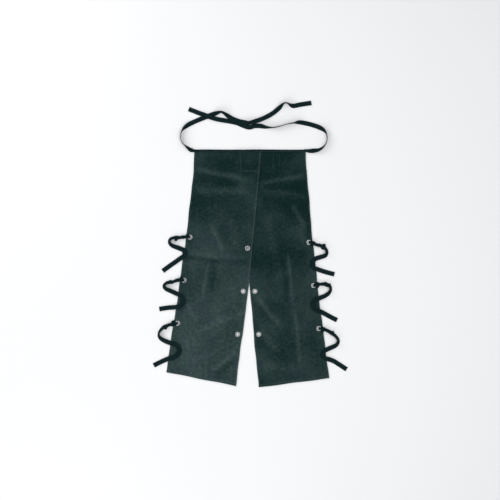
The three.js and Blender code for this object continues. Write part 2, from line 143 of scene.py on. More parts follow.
def add_object(name, points, faces, materials, face_materials=None, uvs=None, normals=None, wear=None):
    """A smooth mesh object. uvs, normals and a colour share of rubbing and painted light are given for each
    point.
    """
    mesh = bpy.data.meshes.new(name)
    mesh.from_pydata([tuple(p) for p in points], [], faces)
    for material in materials:
        mesh.materials.append(material)
    if face_materials is not None:
        mesh.polygons.foreach_set("material_index", np.array(face_materials, np.int32))
    mesh.polygons.foreach_set("use_smooth", np.ones(len(mesh.polygons), bool))
    if uvs is not None:
        corners = np.zeros(len(mesh.loops), np.int32)
        mesh.loops.foreach_get("vertex_index", corners)
        layer = mesh.uv_layers.new(name="flat")
        layer.data.foreach_set("uv", np.array(uvs, np.float32)[corners].ravel())
    if wear is not None:
        mesh.attributes.new("wear", "FLOAT", "POINT").data.foreach_set("value", np.array(wear, np.float32))
    if normals is not None:
        mesh.normals_split_custom_set_from_vertices([tuple(n) for n in normals])
    mesh.update()
    piece = bpy.data.objects.new(name, mesh)
    bpy.context.scene.collection.objects.link(piece)
    return piece


def ring_faces(first, second, count):
    return [(first + i, first + (i + 1) % count, second + (i + 1) % count, second + i) for i in range(count)]


def tube_faces(rings, around):
    """The faces of a tube of so many rings, closed at both ends."""
    faces = []
    for i in range(rings - 1):
        faces += ring_faces(i * around, (i + 1) * around, around)
    last = (rings - 1) * around
    return faces + [tuple(reversed(range(around))), tuple(range(last, last + around))]


def nearest(outer, inner, hem):
    """The distance to the nearest of a leg's three edges."""
    return np.minimum(np.minimum(outer, inner), hem)


def rounded(edge, drop, radius):
    """How far a surface falls away within a radius of its edge, as a rounded corner does."""
    across = 1 - np.clip(edge / radius, 0, 1)
    return drop * (1 - np.sqrt(np.clip(1 - across**2, 0, 1)))


def fasten(piece, body, slot, *nodes):
    """The piece moves with the body and stands for the nodes, which are hidden; slot is not used."""
    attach(piece, body)
    if nodes:
        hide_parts(*nodes)


# ================================================================ shader groups
def new_group(name, inputs, outputs):
    group = bpy.data.node_groups.new(name, "ShaderNodeTree")
    for label, kind, value in inputs:
        socket = group.interface.new_socket(name=label, in_out="INPUT", socket_type=kind)
        if value is not None:
            socket.default_value = value
    for label, kind in outputs:
        group.interface.new_socket(name=label, in_out="OUTPUT", socket_type=kind)
    return group, group.nodes.new("NodeGroupInput"), group.nodes.new("NodeGroupOutput")


class Net:
    """Short calls for wiring shader nodes in one tree."""

    def __init__(self, tree):
        self.tree = tree

    def node(self, kind, **settings):
        node = self.tree.nodes.new(kind)
        for key, value in settings.items():
            setattr(node, key, value)
        return node

    def feed(self, socket, value):
        if isinstance(value, bpy.types.NodeSocket):
            self.tree.links.new(value, socket)
        else:
            socket.default_value = value

    def math(self, operation, first, second=0.0, clamp=False):
        node = self.node("ShaderNodeMath", operation=operation, use_clamp=clamp)
        self.feed(node.inputs[0], first)
        self.feed(node.inputs[1], second)
        return node.outputs[0]

    def mix(self, share, first, second, blend="MIX"):
        node = self.node("ShaderNodeMix", data_type="RGBA", blend_type=blend)
        self.feed(node.inputs["Factor"], share)
        self.feed(node.inputs["A"], first)
        self.feed(node.inputs["B"], second)
        return node.outputs["Result"]

    def noise(self, vector, scale, detail=3.0, roughness=0.5):
        node = self.node("ShaderNodeTexNoise")
        self.feed(node.inputs["Vector"], vector)
        self.feed(node.inputs["Scale"], scale)
        self.feed(node.inputs["Detail"], detail)
        self.feed(node.inputs["Roughness"], roughness)
        return node.outputs["Fac"]

    def span(self, value, low, high, new_low=0.0, new_high=1.0):
        node = self.node("ShaderNodeMapRange", interpolation_type="SMOOTHSTEP")
        for socket, number in zip(node.inputs, (value, low, high, new_low, new_high)):
            self.feed(socket, number)
        return node.outputs["Result"]

    def bump(self, height, strength, distance):
        node = self.node("ShaderNodeBump")
        self.feed(node.inputs["Height"], height)
        self.feed(node.inputs["Strength"], strength)
        self.feed(node.inputs["Distance"], distance)
        return node.outputs["Normal"]

    def group(self, group, **values):
        node = self.node("ShaderNodeGroup", node_tree=group)
        for label, value in values.items():
            self.feed(node.inputs[label.replace("_", " ")], value)
        return node


def weave_group():
    """Plain weave over flat coordinates in metres: a height, and a mask of the threads on top."""
    inputs = [("Flat", "NodeSocketVector", None), ("Across", "NodeSocketFloat", 1200.0),
              ("Along", "NodeSocketFloat", 1200.0)]
    outputs = [("Height", "NodeSocketFloat"), ("Over", "NodeSocketFloat")]
    group, given, put = new_group("plain_weave", inputs, outputs)
    net = Net(group)
    split = net.node("ShaderNodeSeparateXYZ")
    net.feed(split.inputs[0], given.outputs["Flat"])
    x = net.math("MULTIPLY", split.outputs["X"], given.outputs["Across"])
    y = net.math("MULTIPLY", split.outputs["Y"], given.outputs["Along"])
    warp = net.math("SINE", net.math("MULTIPLY", net.math("FRACT", x), math.pi))
    weft = net.math("SINE", net.math("MULTIPLY", net.math("FRACT", y), math.pi))
    cells = net.math("ADD", net.math("FLOOR", x), net.math("FLOOR", y))
    over = net.math("PINGPONG", cells, 1.0)
    swap = net.node("ShaderNodeMix", data_type="FLOAT")
    for socket, value in zip((swap.inputs["Factor"], swap.inputs["A"], swap.inputs["B"]), (over, warp, weft)):
        net.feed(socket, value)
    net.feed(put.inputs["Height"], swap.outputs["Result"])
    net.feed(put.inputs["Over"], over)
    return group


def fading_and_painted_light_group():
    """Uneven colour of cloth: slow patches and small mottling, then a share from the mesh attribute, which
    holds paler rubbed ridges and edges together with painted highlight and painted shade on the folds and
    painted light down the legs.
    """
    inputs = [("Place", "NodeSocketVector", None), ("Cloth", "NodeSocketColor", (0, 0, 0, 1)),
              ("Faded", "NodeSocketColor", (1, 1, 1, 1)), ("Tinged", "NodeSocketColor", (1, 1, 1, 1)),
              ("Worn", "NodeSocketFloat", 0.0), ("Even", "NodeSocketFloat", 0.0),
              ("Patch Scale", "NodeSocketFloat", 6.0), ("Amount", "NodeSocketFloat", 0.5)]
    outputs = [("Color", "NodeSocketColor"), ("Rough Shift", "NodeSocketFloat")]
    group, given, put = new_group("cloth_fading", inputs, outputs)
    net = Net(group)
    place = given.outputs["Place"]
    patches = net.noise(place, given.outputs["Patch Scale"], 3.0, 0.55)
    mottle = net.noise(place, 90.0, 4.0, 0.65)
    grain = net.noise(place, 620.0, 2.0, 0.5)
    slow = net.span(patches, 0.32, 0.72)
    quick = net.span(mottle, 0.35, 0.7)
    base = net.math("ADD", net.math("MULTIPLY", slow, 0.55), net.math("MULTIPLY", quick, 0.25))
    base = net.math("ADD", base, net.math("MULTIPLY", grain, 0.2))
    base = net.math("SUBTRACT", base, given.outputs["Even"])
    share = net.math("MULTIPLY", base, given.outputs["Amount"])
    # the attribute's share, rubbed edges with painted light and painted shade, is broken up by the mottling
    rubbed = net.math("ADD", net.math("MULTIPLY", quick, 0.35), 0.65)
    share = net.math("ADD", share, net.math("MULTIPLY", given.outputs["Worn"], rubbed), clamp=True)
    tinge = net.span(net.noise(place, 17.0, 2.0, 0.5), 0.46, 0.62)
    faded_and_lit = net.mix(tinge, given.outputs["Faded"], given.outputs["Tinged"])
    net.feed(put.inputs["Color"], net.mix(share, given.outputs["Cloth"], faded_and_lit))
    net.feed(put.inputs["Rough Shift"], net.math("MULTIPLY", net.math("SUBTRACT", slow, 0.5), 0.16))
    return group


WEAVE = weave_group()
FADING_AND_PAINTED_LIGHT = fading_and_painted_light_group()


# ================================================================ materials
def new_material(name, colour, roughness):
    """A material, its net and its shader, with the fixed values set on the shader."""
    material = bpy.data.materials.new(name)
    material.use_nodes = True
    material.diffuse_color = (*colour, 1)
    net = Net(material.node_tree)
    shader = material.node_tree.nodes["Principled BSDF"]
    shader.inputs["Base Color"].default_value = (*colour, 1)
    shader.inputs["Roughness"].default_value = roughness
    return material, net, shader


def flat_coordinates(net):
    return net.node("ShaderNodeUVMap", uv_map="flat").outputs["UV"]


def woven(name, cloth, faded_and_lit, threads, depth, roughness, sheen, amount, patch_scale=6.0, wear=False,
          tinged=None, even=0.0):
    """Woven cloth. threads are counts per metre across and along, depth is the weave's relief."""
    material, net, shader = new_material(name, cloth, roughness)
    shader.inputs["Sheen Weight"].default_value = sheen
    shader.inputs["Sheen Roughness"].default_value = 0.45
    shader.inputs["Sheen Tint"].default_value = (0.62, 0.8, 0.8, 1)
    shader.inputs["Specular IOR Level"].default_value = 0.035
    flat = flat_coordinates(net)
    # the mesh attribute holds rubbed edges with painted light and painted shade
    worn_and_painted_light = net.node("ShaderNodeAttribute", attribute_name="wear").outputs["Fac"] if wear else 0.0
    fading_and_painted_light = net.group(FADING_AND_PAINTED_LIGHT, Place=flat, Cloth=(*cloth, 1), Faded=(*faded_and_lit, 1),
                       Tinged=(*(tinged or faded_and_lit), 1), Worn=worn_and_painted_light, Even=even, Patch_Scale=patch_scale,
                       Amount=amount)
    weave = net.group(WEAVE, Flat=flat, Across=threads[0], Along=threads[1])
    # painted shade: the colour is darkened where the weave's threads dip under, on top of the bump
    shade = net.span(weave.outputs["Height"], 0.0, 0.9, 0.72, 1.06)
    tone = net.node("ShaderNodeCombineColor")
    for socket in tone.inputs:
        net.feed(socket, shade)
    shaded = net.mix(1.0, fading_and_painted_light.outputs["Color"], tone.outputs[0], "MULTIPLY")
    net.feed(shader.inputs["Base Color"], shaded)
    rough = net.math("ADD", fading_and_painted_light.outputs["Rough Shift"], roughness, clamp=True)
    net.feed(shader.inputs["Roughness"], rough)
    slub = net.noise(flat, 240.0, 3.0, 0.6)
    relief = net.math("ADD", weave.outputs["Height"], net.math("MULTIPLY", slub, 0.8))
    net.feed(shader.inputs["Normal"], net.bump(relief, 0.8, depth))
    return material


def plated(name):
    """Nickel plate with rubbed and slightly dulled places."""
    material, net, shader = new_material(name, (0.40, 0.40, 0.39), 0.34)
    shader.inputs["Metallic"].default_value = 1.0
    place = net.node("ShaderNodeTexCoord").outputs["Object"]
    dull = net.span(net.noise(place, 420.0, 4.0, 0.6), 0.42, 0.72)
    net.feed(shader.inputs["Base Color"], net.mix(dull, (0.25, 0.255, 0.26, 1), (0.19, 0.19, 0.187, 1)))
    net.feed(shader.inputs["Roughness"], net.math("ADD", net.math("MULTIPLY", dull, 0.2), 0.26))
    scratch = net.noise(place, 2600.0, 2.0, 0.5)
    net.feed(shader.inputs["Normal"], net.bump(scratch, 0.25, 0.05 * MM))
    return material


def floor_finish():
    material, net, shader = new_material("pale_floor", (0.9, 0.9, 0.9), 0.8)
    place = net.node("ShaderNodeTexCoord").outputs["Object"]
    share = net.noise(place, 1.2, 2.0, 0.5)
    net.feed(shader.inputs["Base Color"], net.mix(share, (0.82, 0.822, 0.83, 1), (0.835, 0.835, 0.842, 1)))
    return material


# the canvas's paler colour is its faded cloth and also painted light: the panels mix towards it on rubbed
# edges, on raised folds and down the legs
CANVAS = woven("canvas", (0.0030, 0.0160, 0.0152), (0.064, 0.100, 0.096), (1300, 1150), 0.14 * MM,
               0.78, 0.006, 0.46, wear=True, tinged=(0.062, 0.086, 0.098), even=0.27)
LINING = woven("lining", (0.011, 0.019, 0.021), (0.034, 0.050, 0.052), (2400, 2400), 0.05 * MM,
               0.5, 0.06, 0.7, wear=True)
TAPE = woven("tape", (0.0030, 0.0115, 0.0132), (0.012, 0.027, 0.030), (900, 620), 0.16 * MM,
             0.68, 0.03, 0.4, patch_scale=30.0)
THREAD = woven("thread", (0.045, 0.078, 0.076), (0.09, 0.135, 0.13), (2600, 1500), 0.06 * MM,
               0.5, 0.1, 0.6)
NICKEL = plated("nickel")


def make_floor():
    half = 6.0
    corners = [(-half, -half, FLOOR_Z), (half, -half, FLOOR_Z), (half, half, FLOOR_Z), (-half, half, FLOOR_Z)]
    floor = add_object("floor", corners, [(0, 1, 2, 3)], [floor_finish()])


# ================================================================ cords
ROWS = (1, 2, 3)                   # of eyelets on each leg, from the waist down


def node_centre(name):
    low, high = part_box(name)
    return (low + high) / 2


LEVEL = {"border": 4.3, "eyelet": 4.8, "pad": 9.4, "ground": 1.2}
B, E, P, G = (LEVEL[key] for key in ("border", "eyelet", "pad", "ground"))

# Each point is x, y, z in millimetres and the tape's roll in degrees: 0 lies flat, 90 stands on edge.
# x and y are measured from the outer eyelet that the tie is knotted into.
TIE_ROUTES = {
    "left_tie_1": [
        (-12, 2, E, 0), (-22, 0, E, 10), (-42, -1, 6.6, 40), (-58, -2, 7.4, 58), (-70, -7, 7.6, 62),
        (-74, -18, 7.6, 62), (-66, -29, 6.6, 42), (-49, -36, 4.2, 12), (-33, -42, 3.8, 0),
        (-20, -48, B, 0), (-15, -57, B, 0), (-20, -67, B, 0), (-30, -74, B, 0), (-42, -82, 3.2, 0),
        (-56, -92, 1.6, 0), (-76, -106, G, 0), (-98, -122, G, 0)],
    "left_tie_2": [
        (-12, 2, E, 0), (-22, 0, E, 5), (-34, -4, E, 20), (-50, -7, 6.8, 45), (-64, -11, 7.4, 60),
        (-72, -21, 7.4, 60), (-65, -31, 6.4, 40), (-49, -38, 4.2, 12), (-29, -47, 5.2, 0),
        (-10, -57, 8.8, 0), (-2, -70, P, 0), (-4, -84, P, 0), (-15, -94, 8.2, 0), (-30, -97, 5, 0),
        (-56, -99, 1.6, 0), (-89, -104, G, 0)],
    "left_tie_3": [
        (-12, 0, E, 0), (-20, -3, E, 5), (-30, -6, E, 20), (-45, -12, 6.8, 45), (-60, -23, 7.6, 65),
        (-68, -38, 7.8, 78), (-63, -52, 6.6, 42), (-46, -63, 3.8, 10), (-28, -70, E, 0), (-8, -75, P, 0),
        (5, -88, P, 0), (5, -106, P, 0), (-9, -120, P, 0), (-35, -128, B, 0), (-60, -139, 1.5, 0),
        (-86, -152, G, 0)],
    "right_tie_1": [
        (12, -3, E, 0), (20, -6, E, -5), (30, -9, E, -20), (43, -12, 6.6, -42), (56, -19, 7.4, -58),
        (64, -33, 7.4, -58), (60, -46, 6.4, -38), (45, -52, 4, -12), (28, -57, 3.8, 0), (15, -65, B, 0),
        (10, -78, B, 0), (16, -91, B, 0), (31, -97, B, 0), (58, -106, 1.6, 0), (91, -115, G, 0)],
    "right_tie_2": [
        (12, 2, E, 0), (21, 4, E, -5), (32, 5, E, -20), (46, 4, 6.8, -48), (57, -2, 7.6, -62),
        (61, -15, 7.6, -62), (53, -29, 6.4, -40), (37, -39, 4, -12), (22, -45, 5.4, 0), (6, -52, P, 0),
        (-4, -64, P, 0), (-2, -77, P, 0), (10, -87, P, 0), (25, -94, 5.8, 0), (44, -104, 2.6, 0),
        (64, -115, G, 0), (84, -125, G, 0)],
    "right_tie_3": [
        (12, -2, E, 0), (22, -4, E, -5), (34, -9, 5.4, -22), (48, -18, 6.8, -45), (61, -28, 7.4, -58),
        (70, -43, 7.6, -62), (64, -58, 6.2, -38), (48, -67, 4, -12), (32, -74, 3.8, 0), (18, -82, B, 0),
        (12, -94, B, 0), (21, -106, B, 0), (38, -111, 4, 0), (55, -118, 1.8, 0), (74, -130, G, 0),
        (100, -147, G, 0)],
}

# x and y are measured from the end of the band that each waist tape runs on from.
WAIST_TAPE_ROUTES = {
    "left_waist_tape": [
        (-1.5, 0, 4, 0), (-9, 1, 4.2, 5), (-18, 8, 6.4, 45), (-33, 20, 8, 80), (-44, 33, 8, 90),
        (-48, 48, 8, 90), (-46, 62, 8, 90), (-40, 75, 8, 75), (-28, 87, 6.2, 35), (-13, 97, 2.6, 5),
        (15, 110, G, 0), (38, 119, G, 0), (60, 128, G, 0), (72, 132, 2.2, 5), (85, 136, 6.4, 45),
        (99, 139, 8, 70), (113, 132, 7.4, 50), (124, 124, 5.4, 20), (137, 116, 4.2, 0), (162, 106, 4.2, 0),
        (184, 101.5, 5, 15), (195, 100, 7.4, 42), (207, 101.5, 7.2, 38), (226, 107, 5.4, 6),
        (258, 120, 2.8, 0), (286, 136, 1.6, 0), (308, 154, 5.2, 25),
        (323, 169, 8, 75), (333, 172, 8, 85), (342, 168, 7.8, 75), (356, 161, 4.8, 25),
        (384, 166, 1.6, 0), (423, 172, G, 0)],
    "right_waist_tape": [
        (1.5, 0, 4, 0), (12, -1, 3.6, 0), (28, 0, 3.2, -15), (48, 4, 6.6, -50), (66, 18, 8, -80),
        (75, 37, 8, -90), (73, 60, 8, -85), (64, 73, 7, -55), (51, 82, 4.2, -15), (25, 92, 1.4, 0),
        (-4, 99, 1.9, -3), (-26, 102, 5, -35), (-42, 100, 8, -80), (-60, 97, 8, -88), (-80, 92, 8, -90),
        (-100, 86, 8, -88), (-122, 83, 8, -84), (-142, 84, 7.2, -60),
        (-164, 89, 2.4, -6), (-186, 89, G, 0), (-204, 84, G, 0),
        (-225, 90, G, 0), (-249, 100, G, 0), (-289, 108, 2, 0), (-318, 113, 3.8, 0),
        (-340, 119, 4.2, 0), (-362, 127, 3.8, 0), (-392, 138, 1.4, 0), (-422, 150, G, 0)],
}

TAPE_STEP = 2.5 * MM
PRESSED_WIDTH = TAPE_WIDTH * 1.1   # a worn tape is pressed a little wider than it was woven
GATHER_LENGTH = 58 * MM            # a tie is bunched up this far from its eyelet
GATHERED = 0.72                    # and is then this share of its width
TIE_ROLL = 0.84                    # the ties lie a little flatter than their solids
KNOT_HEIGHT = 6.8 * MM
WIDEST_TURN = 10.8 * MM            # from the tape's middle
TURN_FILL = 9 * MM                 # how far the folded tape fills the inside of a flat turn
TURN_BENDS = (35, 70)              # from a gentle bend to a sharp one, in radians per metre
TURN_SHARE = 0.93                  # the inside of a turn reaches this share of the bend's radius
LEAST_TURN = 2 * MM                # and always may reach this far
EDGE_CURL = 0.35 * MM
RIPPLE_HEIGHT = 3.4                # of a gathered tie, in millimetres
RIPPLE_FADE = 20 * MM              # the ripples die away over this length
KNOT_REACH = 0.17                  # a knot's reach, rise and strand, as shares of its size
KNOT_RISE = 0.13
STRAND_HALF_WIDTH = 0.2
STRAND_HALF_HEIGHT = 0.1
LOOP_HALF_WIDTH = 3.8 * MM         # the bunched tape through an eyelet
LOOP_HALF_HEIGHT = 1.7 * MM

# The knots of each tie: distance along it, size, and how far it sits to the tape's left, in millimetres.
KNOTS = {
    "left_tie_1": [(-4, 14, 0), (36, 15, 3)],
    "left_tie_2": [(-3, 15, 0), (44, 9, 0)],
    "left_tie_3": [(1, 17, 0), (34, 14, 1)],
    "right_tie_1": [(0, 16, 0), (38, 17, 0)],
    "right_tie_2": [(0, 17, 0), (28, 9, 3), (42, 9, 3)],
    "right_tie_3": [(1, 16, 0), (36, 13, 1)],
}


def through_points(points, steps=24):
    """Points on the smooth curve through the given rows, whose first three numbers are a place.
    The spacing along each stretch follows the square root of its length."""
    rows = np.array(points, float)
    rows = np.vstack([2 * rows[0] - rows[1], rows, 2 * rows[-1] - rows[-2]])
    made = []
    for i in range(1, len(rows) - 2):
        p0, p1, p2, p3 = rows[i - 1:i + 3, :3]
        gaps = [max(np.linalg.norm(b - a), 1e-9) ** 0.5 for a, b in ((p0, p1), (p1, p2), (p2, p3))]
        t1 = (p1 - p0) / gaps[0] - (p2 - p0) / (gaps[0] + gaps[1]) + (p2 - p1) / gaps[1]
        t2 = (p2 - p1) / gaps[1] - (p3 - p1) / (gaps[1] + gaps[2]) + (p3 - p2) / gaps[2]
        t1, t2 = t1 * gaps[1], t2 * gaps[1]
        for k in range(steps):
            t = k / steps
            place = ((2 * t**3 - 3 * t**2 + 1) * p1 + (t**3 - 2 * t**2 + t) * t1
                     + (3 * t**2 - 2 * t**3) * p2 + (t**3 - t**2) * t2)
            rest = rows[i, 3:] * (1 - t) + rows[i + 1, 3:] * t
            made.append([*place, *rest])
    made.append(rows[-2])
    return np.array(made)


def evenly(rows, step):
    """The rows again, at even distances along the line of their first three numbers."""
    gaps = np.linalg.norm(np.diff(rows[:, :3], axis=0), axis=1)
    along = np.concatenate([[0], np.cumsum(gaps)])
    places = np.linspace(0, along[-1], max(2, round(along[-1] / step) + 1))
    return np.column_stack([np.interp(places, along, column) for column in rows.T]), places


def ribbon(name, rows, places, width_at, thickness_at, seed, roll_share=1.0):
    """A woven tape along rows of x, y, z and roll, with rounded edges and a faint selvedge."""
    tangents = np.gradient(rows[:, :3], axis=0)
    tangents /= np.linalg.norm(tangents, axis=1)[:, None]
    bend = np.gradient(np.unwrap(np.arctan2(tangents[:, 1], tangents[:, 0])), places)
    bend = np.convolve(np.pad(bend, 2, mode="edge"), np.ones(5) / 5, mode="valid")
    outline = [(-1, 0), (-0.985, 0.34), (-0.93, 0.5), (-0.84, 0.42), (-0.4, 0.46), (0, 0.42), (0.4, 0.46),
               (0.84, 0.42), (0.93, 0.5), (0.985, 0.34), (1, 0), (0.985, -0.34), (0.93, -0.5),
               (0.84, -0.42), (0.4, -0.46), (0, -0.42), (-0.4, -0.46), (-0.84, -0.42), (-0.93, -0.5),
               (-0.985, -0.34)]
    count = len(outline)
    points, uvs = [], []
    for row, tangent, along, curve in zip(rows, tangents, places, bend):
        side = Vector((-tangent[1], tangent[0], 0)).normalized()
        turn = math.radians(row[3] * roll_share)
        up = Vector(tangent).cross(side)
        across = side * math.cos(turn) + up * math.sin(turn)
        normal = Vector(tangent).cross(across)
        half, thick = width_at(along) / 2, thickness_at(along)
        curl = EDGE_CURL * noise.noise((along / 0.03, seed, 3.1))
        sharp = float(smooth(abs(curve), *TURN_BENDS) * smooth(math.cos(turn), 0.85, 1))
        turn_room = max(TURN_SHARE / max(abs(curve), 1e-6), LEAST_TURN)
        inner = min(half + sharp * TURN_FILL, turn_room, WIDEST_TURN)
        for u, v in outline:
            ripple = bunching(along, u, seed) * MM
            inside = u * curve > 0
            reach = inner if inside and sharp > 0 else half
            if inside:
                fold = 0.7 + 1.1 * noise.noise((along / 0.006, u * 1.5, seed + 5))
                ripple += sharp * abs(u) * fold * MM
            height = v * thick + curl * (u * u - 0.4) + ripple
            place = Vector(row[:3]) + across * (u * reach) + normal * height
            place.z = max(place.z, 0.05 * MM * (2 + v))
            points.append(place)
            uvs.append((u * TAPE_WIDTH / 2 + (0.04 if v < 0 else 0), along))
    return add_object(name, points, tube_faces(len(rows), count), [TAPE], uvs=uvs)


def bunching(along, u, seed):
    """Crosswise ripples of a gathered tie in millimetres, none on a seed below zero."""
    if seed < 0 or along > GATHER_LENGTH:
        return 0.0
    fade = min(1.0, (GATHER_LENGTH - along) / RIPPLE_FADE)
    return fade * RIPPLE_HEIGHT * noise.noise((along / 0.008, u * 0.9, seed)) * (0.5 + abs(u))


def knot(name, centre, heading, size):
    """A tape pulled into an overhand knot, lying flat and pointing along heading."""
    turns, around = 96, 10
    points, uvs = [], []
    along = Vector((math.cos(heading), math.sin(heading), 0))
    across = Vector((-along.y, along.x, 0))

    def place(t):
        x = math.sin(t) + 2 * math.sin(2 * t)
        y = math.cos(t) - 2 * math.cos(2 * t)
        z = -math.sin(3 * t)
        middle = Vector(centre) + along * (x * size * KNOT_REACH) + across * (y * size * KNOT_REACH)
        return middle + Vector((0, 0, z * size * KNOT_RISE))

    for i in range(turns):
        t = 2 * math.pi * i / turns
        here, ahead = place(t), place(t + 0.02)
        tangent = (ahead - here).normalized()
        side = tangent.cross(Vector((0, 0, 1))).normalized()
        up = side.cross(tangent)
        for j in range(around):
            a = 2 * math.pi * j / around
            swell = 1 + 0.22 * noise.noise((math.cos(t) * 2, math.sin(t) * 2, j * 0.9 + size * 90))
            wide = math.cos(a) * size * STRAND_HALF_WIDTH * swell
            high = math.sin(a) * size * STRAND_HALF_HEIGHT * swell
            points.append(here + side * wide + up * high)
            uvs.append((j / around * TAPE_WIDTH, t * size * 0.5))
    faces = []
    for i in range(turns):
        faces += ring_faces(i * around, ((i + 1) % turns) * around, around)
    return add_object(name, points, faces, [TAPE], uvs=uvs)


def tape_body(name):
    """The body that a tape, or an eyelet of the same leg and row, moves with."""
    side, row = name.split("_")[0], name[-1]
    if name.endswith("waist_tape"):
        return "waist"
    return f"{side}_lower_leg" if row == "3" else "thighs"


def make_tie(name, route):
    side, _, row = name.split("_")
    toward = -1 if side == "left" else 1
    centre = node_centre(f"{side}_outer_eyelet_{row}")
    seed = 3.7 * int(row) + (11 if side == "right" else 0)
    rows = [(centre.x + x * MM, centre.y + y * MM, z * MM, roll) for x, y, z, roll in route]
    rows, places = evenly(through_points(rows), TAPE_STEP)

    def width_at(along):
        wobble = 0.2 * noise.noise((along / 0.012, seed, 0.4)) * smooth(GATHER_LENGTH - along, 0, 0.02)
        return PRESSED_WIDTH * float(GATHERED + wobble + (1 - GATHERED) * smooth(along, 0.02, GATHER_LENGTH))

    def thickness_at(along):
        return TAPE_THICKNESS * float(1 + 2.6 * (1 - smooth(along, 0.025, GATHER_LENGTH)))

    piece = ribbon(name + "_tape", rows, places, width_at, thickness_at, seed, TIE_ROLL)
    first = rows[0]
    knots = []
    for label, (along, size, left) in zip(("knot", "second_knot", "third_knot"), KNOTS[name]):
        here, ahead = (rows[np.searchsorted(places, max(0, along + step) * MM)] for step in (0, 8))
        heading = math.atan2(ahead[1] - here[1], ahead[0] - here[0])
        back = min(0, along) * MM
        x = here[0] - math.sin(heading) * left * MM + math.cos(heading) * back
        y = here[1] + math.cos(heading) * left * MM + math.sin(heading) * back
        turned = heading + (0.8 if along > 10 else 0)
        knots.append(knot(f"{name}_{label}", (x, y, KNOT_HEIGHT), turned, size * MM))
    loop = eyelet_loop(name + "_loop", centre, first, toward)
    for extra in [*knots, loop]:
        fasten(extra, tape_body(name), "tape")
    fasten(piece, tape_body(name), "tape", name)
    tuple(first[:3])
    [tuple(row[:3]) for row in rows]


def eyelet_loop(name, centre, knot_place, toward):
    """The bunched tape from the knot down through the eyelet's hole."""
    reach = knot_place[0] - centre.x
    rows = [(centre.x, centre.y, 0.9 * MM, 0), (centre.x + toward * 0.6 * MM, centre.y, 3.0 * MM, 0),
            (centre.x + toward * 3.4 * MM, centre.y, 5.6 * MM, 0),
            (centre.x + reach * 0.62, (centre.y + knot_place[1]) / 2, 6.4 * MM, 0),
            (centre.x + reach + toward * 3 * MM, knot_place[1], 6.0 * MM, 0)]
    rows, places = evenly(through_points(rows), 0.8 * MM)
    around = 12
    tangents = np.gradient(rows[:, :3], axis=0)
    points, uvs = [], []
    for row, tangent, along in zip(rows, tangents, places):
        tangent = Vector(tangent).normalized()
        side = Vector((0, 1, 0))
        up = side.cross(tangent)
        for j in range(around):
            a = 2 * math.pi * j / around
            crease = 1 + 0.18 * math.cos(3 * a + along / MM * 0.35)
            points.append(Vector(row[:3]) + side * (math.cos(a) * LOOP_HALF_WIDTH * crease)
                          + up * (math.sin(a) * LOOP_HALF_HEIGHT * crease))
            uvs.append((j / around * TAPE_WIDTH, along))
    return add_object(name, points, tube_faces(len(rows), around), [TAPE], uvs=uvs)


def make_waist_tape(name, route):
    low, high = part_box("waistband")
    start_x = low.x if name.startswith("left") else high.x
    start_y = WAIST_Y - BAND_DEPTH / 2
    inside = (-8 if route[0][0] > 0 else 8, 0, 2.4, 0)
    rows = [(start_x + x * MM, start_y + y * MM, z * MM, roll) for x, y, z, roll in (inside, *route)]
    rows, places = evenly(through_points(rows), TAPE_STEP)

    def width_at(along):
        return PRESSED_WIDTH * float(0.55 + 0.45 * smooth(along, 0, 0.035))

    piece = ribbon(name + "_webbing", rows, places, width_at, lambda along: TAPE_THICKNESS, -1)
    fasten(piece, "waist", "tape", name)
    [tuple(row[:3]) for row in rows]


make_camera()
make_studio()
make_floor()
for tie_name, tie_route in TIE_ROUTES.items():
    make_tie(tie_name, tie_route)
for tape_name, tape_route in WAIST_TAPE_ROUTES.items():
    make_waist_tape(tape_name, tape_route)


# ================================================================ panel outlines
PAD_INSET = 22 * MM                # the padding stops this far from the outer edge and the heel
PAD_SETBACK = 20 * MM              # and this far from the slit and the hidden edge
PAD_LAP_GAP = 3 * MM               # the left panel's front edge to the right leg's padding
PAD_HEM_INSET = 12 * MM
PAD_ABOVE_FOLD = 26 * MM           # the padding reaches this far above the hip fold
PAD_ROUNDING = 7 * MM              # of the corners where the padding's sides meet
SEAM_DIP = 0.45 * MM               # how far a seam draws the cloth down, and over what width
SEAM_SPREAD = 1.1 * MM
PUCKER_HEIGHT = 0.2 * MM           # the puckers along the edge seams: height, length, place and spread
PUCKER_LENGTH = 11 * MM
PUCKER_PLACE = 6.5 * MM
PUCKER_SPREAD = 4.5 * MM
THINNEST = 1.9 * MM                # the lowest that the front cloth comes


